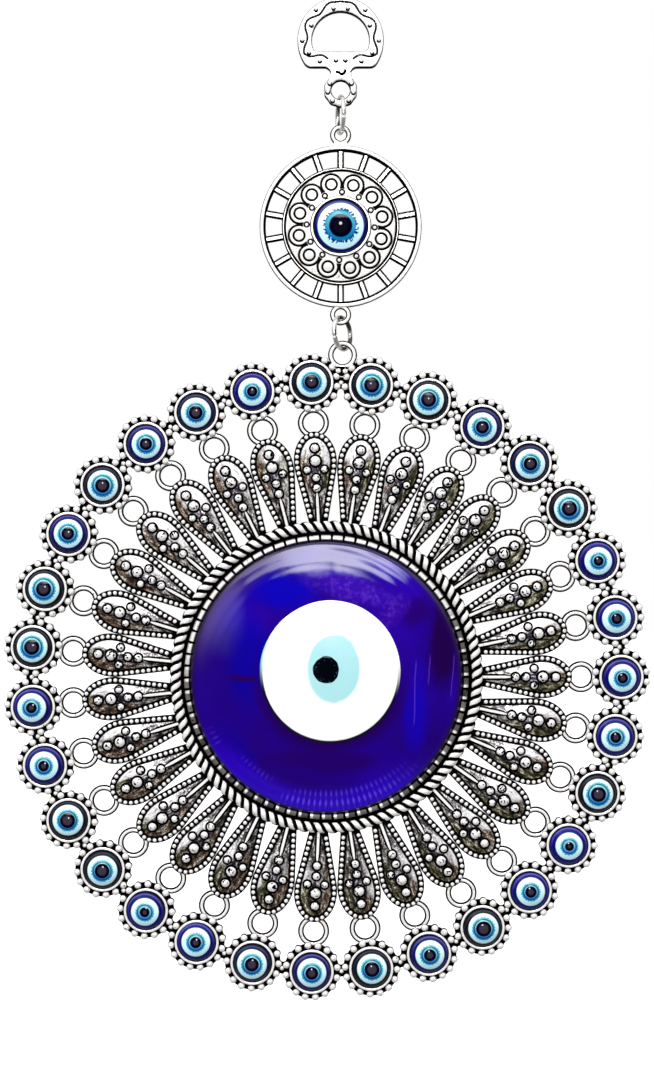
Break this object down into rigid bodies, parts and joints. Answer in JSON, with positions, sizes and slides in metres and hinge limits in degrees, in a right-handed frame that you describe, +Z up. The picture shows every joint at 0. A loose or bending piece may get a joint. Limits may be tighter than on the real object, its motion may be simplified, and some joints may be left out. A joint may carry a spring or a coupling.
{
  "type": "evil eye hanging ornament",
  "caption": "Hanging evil eye charm: cast hanger, jump rings, spoked medallion with an eye stone, and a petalled pendant with a blue glass eye and a rim of eye stones.",
  "frame": {"origin": "the hanging point: top of the inside of the hanger's opening, in the hanger's middle plane", "axes": "+Z up, +X to the right seen from the front, the front faces -Y and the flat back faces +Y"},
  "size_m": [0.1649, 0.0129, 0.2558],
  "materials": {
    "bright_silver": "bright silver plate on a zinc casting, dark antiquing only in the engraved lines",
    "ring_wire": "bright plated round wire",
    "antique_silver": "antique silver plate: bright raised beads and ropes, black patina in every recess",
    "eye_resin": "glossy dome resin stone with printed eye rings: indigo, ice blue, azure and black",
    "cobalt_glass": "polished deep cobalt glass",
    "white_glass": "opaque white glass fused on the blue dome",
    "aqua_glass": "pale aqua glass fused on the white",
    "black_glass": "black glass drop fused on the aqua"
  },
  "bodies": {
    "hanger": {"hanger": "bright_silver"},
    "upper_ring": {"upper_jump_ring": "ring_wire"},
    "medallion": {"medallion_frame": "bright_silver", "medallion_stone": "eye_resin"},
    "lower_ring": {"lower_jump_ring": "ring_wire"},
    "pendant": {"glass_setting": "antique_silver", "petal_collar": "antique_silver", "stone_cups": "antique_silver", "eye_glass": "cobalt_glass", "eye_white": "white_glass", "eye_iris": "aqua_glass", "eye_pupil": "black_glass", "rim_stone_01": "eye_resin", "rim_stone_02": "eye_resin", "rim_stone_03": "eye_resin", "rim_stone_04": "eye_resin", "rim_stone_05": "eye_resin", "rim_stone_06": "eye_resin", "rim_stone_07": "eye_resin", "rim_stone_08": "eye_resin", "rim_stone_09": "eye_resin", "rim_stone_10": "eye_resin", "rim_stone_11": "eye_resin", "rim_stone_12": "eye_resin", "rim_stone_13": "eye_resin", "rim_stone_14": "eye_resin", "rim_stone_15": "eye_resin", "rim_stone_16": "eye_resin", "rim_stone_17": "eye_resin", "rim_stone_18": "eye_resin", "rim_stone_19": "eye_resin", "rim_stone_20": "eye_resin", "rim_stone_21": "eye_resin", "rim_stone_22": "eye_resin", "rim_stone_23": "eye_resin", "rim_stone_24": "eye_resin", "rim_stone_25": "eye_resin", "rim_stone_26": "eye_resin", "rim_stone_27": "eye_resin", "rim_stone_28": "eye_resin", "rim_stone_29": "eye_resin", "rim_stone_30": "eye_resin", "rim_stone_31": "eye_resin"}
  },
  "joints": [
    {"name": "upper_ring_swing", "type": "hinge", "parent": "hanger", "child": "upper_ring", "pos_m": [0, 0, -0.02157], "axis": [0, 1, 0], "range_deg": [-40, 40]},
    {"name": "medallion_tilt", "type": "hinge", "parent": "upper_ring", "child": "medallion", "pos_m": [0, 0, -0.02932], "axis": [1, 0, 0], "range_deg": [-40, 40]},
    {"name": "lower_ring_swing", "type": "hinge", "parent": "medallion", "child": "lower_ring", "pos_m": [0, 0, -0.07777], "axis": [0, 1, 0], "range_deg": [-40, 40]},
    {"name": "pendant_tilt", "type": "hinge", "parent": "lower_ring", "child": "pendant", "pos_m": [0.00065, 0, -0.08444], "axis": [1, 0, 0], "range_deg": [-45, 45]}
  ]
}
